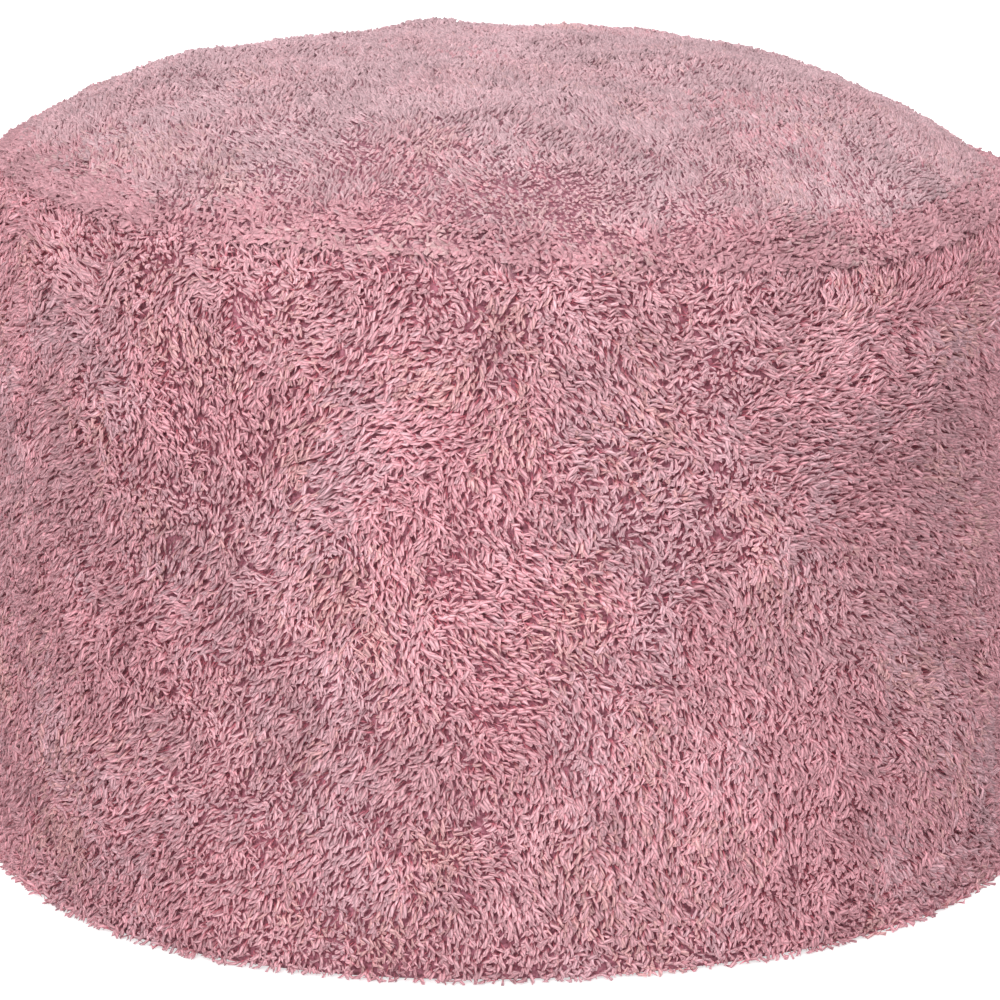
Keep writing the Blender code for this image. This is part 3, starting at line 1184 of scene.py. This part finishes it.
            # At a yarn's point the width is nothing, and the tiny addition gives it a direction
            outward = unit(wide + 1e-9 * normal) + self.sizes.soften * normal
            rounded[:, number] = unit(outward + (self.tip_turn if z > 0.9 else 0.0) * along)
        # A yarn that would reach under the floor is pushed up by it
        lowest = places[:, :, 2].min(axis=1)
        places[:, :, 2] += np.maximum(self.floor_gap - lowest, 0.0)[:, None]
        return places, rounded

    @staticmethod
    def map_of(template: YarnTemplate, lay: Lay, rows: Array) -> Array:
        """Return each corner's place on the pile's map."""
        band = np.minimum(lay.tint[rows] * TINTS, TINTS - 1.0).astype(int)
        inside = BAND_MARGIN + (1.0 - 2.0 * BAND_MARGIN) * template.around
        across = (band[:, None] + inside[None, :]) / TINTS
        upwards = (lay.dye[rows][:, None] + 0.02 + 0.96 * np.clip(template.along, 0.0, 1.0)) / len(Dye)
        return np.stack([across, upwards], axis=2)


def mesh_piece(name: str, points: Array, normals: Array, corners: Array, sizes: Array,
               places: Array) -> bpy.types.Object:
    """Return a new smooth-shaded object from arrays.

    Args:
        name: the piece's name.
        points: places of the points, one a row.
        normals: the points' normals, one a row.
        corners: the point at each corner, face after face.
        sizes: how many corners each face has.
        places: each corner's place on the pile's map.

    Returns:
        The object, linked to the scene.
    """
    mesh = bpy.data.meshes.new(name)
    mesh.vertices.add(len(points))
    mesh.vertices.foreach_set("co", points.astype(np.float32).ravel())
    mesh.loops.add(len(corners))
    mesh.loops.foreach_set("vertex_index", corners.astype(np.int32))
    mesh.polygons.add(len(sizes))
    mesh.polygons.foreach_set("loop_start", (np.cumsum(sizes) - sizes).astype(np.int32))
    mesh.update(calc_edges=True)
    layer = mesh.uv_layers.new(name=PILE_MAP)
    layer.data.foreach_set("uv", places.astype(np.float32).ravel())
    mesh.validate()
    mesh.shade_smooth()
    mesh.normals_split_custom_set_from_vertices(normals.astype(np.float32))
    piece = bpy.data.objects.new(name, mesh)
    piece.cycles.shadow_terminator_geometry_offset = 0.4
    piece.cycles.shadow_terminator_offset = 0.2
    bpy.context.scene.collection.objects.link(piece)
    return piece


# Backing cloths

def lay_on(cloth: bpy.types.Object, form: DrumForm, surface: Surface, way: Array, limit: float,
           depth: float) -> None:
    """Move the points of a plain round or tube on to the form, below the tips of the pile.

    Args:
        cloth: the piece, round the vertical axis.
        form: the form of the pouf.
        surface: its side or its top.
        way: each point's way along the section.
        limit: the length of the section.
        depth: how far below the tips the cloth lies.
    """
    flat = np.array([point.co[:] for point in cloth.data.vertices])
    angle = np.arctan2(flat[:, 1], flat[:, 0])
    # In the middle of the top every direction meets, so its normal is read just beside it
    beside = np.where(np.hypot(flat[:, 0], flat[:, 1]) < 0.1, np.maximum(way, 0.003), way)
    place = surface(angle, way) - form.normals(surface, angle, beside, limit) * depth
    place[:, 2] = np.maximum(place[:, 2], form.underside)
    cloth.data.vertices.foreach_set("co", place.astype(np.float32).ravel())
    cloth.data.update()


@dataclass
class SideBacking:
    """The cloth of the side band under its pile, filled out by the stuffing."""

    form: DrumForm
    depth: float = 0.0066
    columns: int = 144
    rows: int = 30
    end_rings: tuple[float, ...] = (0.90, 0.5)

    def build(self, material: bpy.types.Material) -> bpy.types.Object:
        """Model the cloth and return it."""
        deselect_all()
        bpy.ops.mesh.primitive_cylinder_add(
            vertices=self.columns, radius=self.form.side_radius, depth=1.0, end_fill_type="NOTHING",
            location=(0.0, 0.0, 0.5))
        cloth = bpy.context.object
        cloth.name = cloth.data.name = "side_backing"
        bpy.ops.object.transform_apply(location=True, rotation=False, scale=False)
        bpy.ops.object.mode_set(mode="EDIT")
        for row in range(1, self.rows):
            bpy.ops.mesh.select_all(action="SELECT")
            bpy.ops.mesh.bisect(plane_co=(0.0, 0.0, row / self.rows), plane_no=(0.0, 0.0, 1.0))
        bpy.ops.object.mode_set(mode="OBJECT")
        down = np.array([1.0 - point.co.z for point in cloth.data.vertices])
        length = self.form.side_length
        lay_on(cloth, self.form, self.form.side, down * length, length, self.depth)
        self.close(cloth)
        cloth.data.shade_smooth()
        finish_piece(cloth, material)
        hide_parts("side_band")
        return cloth

    def close(self, cloth: bpy.types.Object) -> None:
        """Close both ends with rings of faces, so that the filled form is whole."""
        deselect_all()
        cloth.select_set(True)
        bpy.context.view_layer.objects.active = cloth
        bpy.ops.object.mode_set(mode="EDIT")
        middle_height = self.form.mean_seam / 2.0
        for upper in (True, False):
            bpy.ops.mesh.select_mode(type="EDGE")
            bpy.ops.mesh.select_all(action="DESELECT")
            bpy.ops.mesh.select_non_manifold(
                extend=False, use_wire=False, use_boundary=True, use_multi_face=False,
                use_non_contiguous=False, use_verts=False)
            bpy.ops.object.mode_set(mode="OBJECT")
            for edge in cloth.data.edges:
                ends = [cloth.data.vertices[end].co.z > middle_height for end in edge.vertices]
                edge.select = edge.select and all(end == upper for end in ends)
            for point in cloth.data.vertices:
                point.select = False
            for edge in cloth.data.edges:
                if edge.select:
                    for end in edge.vertices:
                        cloth.data.vertices[end].select = True
            bpy.ops.object.mode_set(mode="EDIT")
            centre = self.form.top_centre if upper else self.form.foot_centre
            for share in self.end_rings:
                bpy.ops.mesh.extrude_edges_move()
                bpy.ops.transform.resize(value=(share, share, 1.0), center_override=(*centre, 0.0))
            bpy.ops.mesh.edge_face_add()
        face_outwards()


@dataclass
class TopBacking:
    """The cloth of the top panel under its pile, domed by the stuffing."""

    form: DrumForm
    depth: float = 0.0050
    columns: int = 96
    rings: int = 16
    skirt: float = 0.014
    thickness: float = 0.0015

    def build(self, material: bpy.types.Material) -> bpy.types.Object:
        """Model the cloth and return it."""
        deselect_all()
        bpy.ops.mesh.primitive_circle_add(vertices=self.columns, radius=1.0, fill_type="NOTHING")
        cloth = bpy.context.object
        cloth.name = cloth.data.name = "top_backing"
        bpy.ops.object.mode_set(mode="EDIT")
        bpy.ops.mesh.select_all(action="SELECT")
        for ring in range(self.rings - 1, 0, -1):
            bpy.ops.mesh.extrude_edges_move()
            share = ring / (ring + 1)
            bpy.ops.transform.resize(value=(share, share, 1.0), center_override=(0.0, 0.0, 0.0))
        bpy.ops.mesh.extrude_edges_move()
        bpy.ops.mesh.merge(type="CENTER")
        bpy.ops.mesh.select_all(action="SELECT")
        bpy.ops.mesh.remove_doubles(threshold=0.00001)
        bpy.ops.object.mode_set(mode="OBJECT")
        out = np.array([math.hypot(point.co.x, point.co.y) for point in cloth.data.vertices])
        length = self.form.top_length
        lay_on(cloth, self.form, self.form.top, out * length, length, self.depth)
        self.tuck(cloth)
        thick = cloth.modifiers.new("Thickness", "SOLIDIFY")
        thick.thickness = self.thickness
        thick.offset = -1.0
        bpy.ops.object.modifier_apply(modifier=thick.name)
        bpy.ops.object.mode_set(mode="EDIT")
        face_outwards()
        cloth.data.shade_smooth()
        finish_piece(cloth, material)
        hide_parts("top_panel")
        return cloth

    def tuck(self, cloth: bpy.types.Object) -> None:
        """Turn the rim down into the seam, where it goes under the side's cloth."""
        bpy.ops.object.mode_set(mode="EDIT")
        bpy.ops.mesh.select_mode(type="EDGE")
        bpy.ops.mesh.select_all(action="DESELECT")
        bpy.ops.mesh.select_non_manifold()
        bpy.ops.mesh.extrude_edges_move(TRANSFORM_OT_translate={"value": (0.0, 0.0, -self.skirt)})
        bpy.ops.mesh.select_mode(type="VERT")
        bpy.ops.object.mode_set(mode="OBJECT")


@dataclass
class BaseCloth:
    """The plain cloth that closes the underside, with a turned hem and the groove of its stitches."""

    columns: int = 96
    hem: float = 0.008
    stitches: float = 0.0015
    stitch_depth: float = 0.0006
    inner: float = 0.02
    edge: float = 0.0004

    def build(self, material: bpy.types.Material) -> bpy.types.Object:
        """Model the cloth and return it."""
        low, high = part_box("base_panel")
        centre = (low + high) / 2.0
        radius = (high.x - low.x) / 2.0
        deselect_all()
        bpy.ops.mesh.primitive_cylinder_add(
            vertices=self.columns, radius=radius, depth=high.z - low.z, end_fill_type="NGON", location=centre)
        cloth = bpy.context.object
        cloth.name = cloth.data.name = "base_cloth"
        bpy.ops.object.transform_apply(location=True, rotation=False, scale=False)
        bpy.ops.object.mode_set(mode="EDIT")
        bpy.ops.mesh.select_mode(type="FACE")
        bpy.ops.mesh.select_all(action="DESELECT")
        bpy.ops.object.mode_set(mode="OBJECT")
        for face in cloth.data.polygons:
            face.select = face.normal.z < -0.9
        bpy.ops.object.mode_set(mode="EDIT")
        bpy.ops.mesh.inset(thickness=self.hem, depth=0.0)
        bpy.ops.mesh.inset(thickness=self.stitches, depth=-self.stitch_depth)
        bpy.ops.mesh.inset(thickness=self.inner, depth=0.0)
        bpy.ops.object.mode_set(mode="OBJECT")
        edge = cloth.modifiers.new("Edge", "BEVEL")
        edge.width = self.edge
        edge.segments = 2
        edge.limit_method = "ANGLE"
        bpy.ops.object.modifier_apply(modifier=edge.name)
        bpy.ops.object.shade_smooth_by_angle(angle=math.radians(30.0))
        finish_piece(cloth, material)
        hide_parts("base_panel")
        return cloth


# The room

@dataclass(frozen=True)
class LightRow:
    """One soft lamp: where it stands, its width, its power in watts and its colour."""

    name: str
    place: tuple[float, float, float]
    width: float
    power: float
    colour: Colour = (1.0, 1.0, 1.0)


@dataclass
class Studio:
    """A pale floor, soft lamps and the camera."""

    distance: float = 2.25
    elevation: float = 12.7
    focal_pixels: float = 4626.0
    picture_side: int = 1000
    target: tuple[float, float, float] = (-0.001, 0.0, 0.1636)
    floor_side: float = 40.0
    floor_colour: Colour = (0.80, 0.80, 0.80)
    white: Colour = (1.0, 1.0, 1.0)
    lamp_target: tuple[float, float, float] = (0.0, 0.0, 0.2)
    sky: float = 0.65
    floor_glow: float = 0.66
    lamps: tuple[LightRow, ...] = (
        LightRow("key", (-0.36, -3.0, 1.55), 1.4, 75.0, (1.0, 0.99, 0.985)),
        LightRow("above", (0.0, -0.2, 2.6), 1.8, 15.0),
        LightRow("behind_left", (-2.3, 1.9, 1.5), 1.4, 34.0),
        LightRow("behind_right", (2.3, 1.9, 1.5), 1.4, 34.0),
    )

    def build(self) -> None:
        """Make the room."""
        self.make_camera()
        self.make_floor()
        self.make_light()

    def make_camera(self) -> None:
        """Stand the camera where the photograph was taken from."""
        data = bpy.data.cameras.new("camera")
        data.sensor_width = 36.0
        data.lens = self.focal_pixels * data.sensor_width / self.picture_side
        data.clip_end = 100.0
        camera = bpy.data.objects.new("camera", data)
        bpy.context.scene.collection.objects.link(camera)
        tilt = math.radians(self.elevation)
        back = Vector((0.0, -math.cos(tilt), math.sin(tilt)))
        camera.location = Vector(self.target) + back * self.distance
        camera.rotation_mode = "QUATERNION"
        camera.rotation_quaternion = (-back).to_track_quat("-Z", "Y")
        bpy.context.scene.camera = camera

    def make_floor(self) -> None:
        """Lay the floor with its pale material."""
        deselect_all()
        bpy.ops.mesh.primitive_plane_add(size=self.floor_side, location=(0.0, 0.0, 0.0))
        floor = bpy.context.object
        floor.name = floor.data.name = "floor"
        material = new_material("pale_floor", {
            "Base Color": self.floor_colour,
            "Roughness": 0.9,
            "Specular IOR Level": 0.1,
            "Emission Color": self.white,
        })
        nodes, links = material.node_tree.nodes, material.node_tree.links
        ray = nodes.new("ShaderNodeLightPath")
        glow = nodes.new("ShaderNodeMath")
        glow.operation = "MULTIPLY"
        glow.inputs[1].default_value = self.floor_glow
        links.new(ray.outputs["Is Camera Ray"], glow.inputs[0])
        links.new(glow.outputs["Value"], nodes["Principled BSDF"].inputs["Emission Strength"])
        floor.data.materials.append(material)

    def make_light(self) -> None:
        """Hang the lamps and set the sky."""
        world = bpy.data.worlds.new("sky")
        bpy.context.scene.world = world
        world.use_nodes = True
        nodes, links = world.node_tree.nodes, world.node_tree.links
        seen = nodes.new("ShaderNodeBackground")
        set_inputs(seen, {"Color": self.white})
        lit = nodes["Background"]
        set_inputs(lit, {"Color": self.white, "Strength": self.sky})
        ray = nodes.new("ShaderNodeLightPath")
        mix = nodes.new("ShaderNodeMixShader")
        links.new(ray.outputs["Is Camera Ray"], mix.inputs["Fac"])
        links.new(lit.outputs["Background"], mix.inputs[1])
        links.new(seen.outputs["Background"], mix.inputs[2])
        links.new(mix.outputs["Shader"], nodes["World Output"].inputs["Surface"])
        for row in self.lamps:
            data = bpy.data.lights.new(row.name, "AREA")
            data.size = row.width
            data.energy = row.power
            data.color = row.colour
            lamp = bpy.data.objects.new(row.name, data)
            bpy.context.scene.collection.objects.link(lamp)
            lamp.location = row.place
            lamp.rotation_mode = "QUATERNION"
            aim = Vector(self.lamp_target) - Vector(row.place)
            lamp.rotation_quaternion = aim.to_track_quat("-Z", "Y")
        bpy.context.scene.view_settings.view_transform = "Standard"
        bpy.context.scene.view_settings.look = "None"


# Finishes of this pouf

SIDE_SHAG = YarnFinish(
    "side_shag_yarn",
    main=(0.856, 0.478, 0.530),
    cool=(0.838, 0.497, 0.554),
    warm=(0.866, 0.486, 0.500),
    deep=(0.862, 0.444, 0.500),
)
# The top's yarn is greyer and less red than the side's, partly as painted sheen over the top
TOP_SHAG = YarnFinish(
    "top_shag_yarn",
    # A lighter painted root shade on the top
    root=(0.91, 0.60, 0.67),
    ply_groove_shade=0.30,
    main=(0.785, 0.488, 0.532),
    cool=(0.772, 0.508, 0.552),
    warm=(0.794, 0.496, 0.516),
    deep=(0.798, 0.428, 0.478),
)
# The backing cloths show only in the gaps of the pile, and their deep maroon is partly painted shade for those
# gaps
SIDE_BACKING = ClothFinish(
    "side_backing_cloth", light=(0.62, 0.25, 0.33), dark=(0.19, 0.05, 0.07), slubs=520.0, slub_share=0.9)
TOP_BACKING = ClothFinish(
    "top_backing_cloth", light=(0.68, 0.34, 0.42), dark=(0.34, 0.12, 0.17), slubs=520.0, slub_share=0.9)
CANVAS = ClothFinish("base_canvas", light=(0.46, 0.30, 0.31), dark=(0.30, 0.17, 0.18), threads=620.0)

SIDE_PILE = PileSizes()
TOP_PILE = PileSizes(
    spacing=0.00200,
    length=0.0072,
    width=0.0021,
    depth=0.0040,
    least_lean=56.0,
    most_lean=74.0,
    swirl_force=0.6,
    cowlick_force=0.7,
    heave=0.0008,
    brush=0.0,
    stray=0.34,
    # Partly painted sheen: more of the cool, greyer dye on the top
    grey=0.7,
    patchy=6.0,
    spin=0.0,
    spin_spread=0.6,
    soften=0.85,
)


def main() -> None:
    """Build the room and the pouf, and report each piece."""
    logging.basicConfig(level=logging.INFO, format="%(name)s: %(message)s")
    Studio().build()
    form = DrumForm()
    bent = [YarnModeller().model(cut) for cut in YARN_CUTS[:2]]
    wisps = [YarnModeller().model(cut) for cut in WISP_CUTS]
    straight = [YarnModeller(bent=False).model(cut) for cut in YARN_CUTS]
    side_cuts = bent + wisps + straight[:2]
    side = PilePanel("side_pile", "shag_side", Comb.DOWN, form, SIDE_PILE, side_cuts, seed=5, parts=5)
    top = PilePanel("top_pile", "shag_top", Comb.OUT, form, TOP_PILE, straight, seed=8, parts=2)
    made = [
        SideBacking(form).build(SIDE_BACKING.material()),
        TopBacking(form).build(TOP_BACKING.material()),
        BaseCloth().build(CANVAS.material()),
    ]
    for panel, finish in ((side, SIDE_SHAG), (top, TOP_SHAG)):
        panel.build(finish.material())
        made += panel.pieces
    for piece in made:
        triangles = sum(len(face.vertices) - 2 for face in piece.data.polygons)
        LOG.info("%s: %d triangles", piece.name, triangles)
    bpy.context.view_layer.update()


if __name__ == "__main__":
    main()
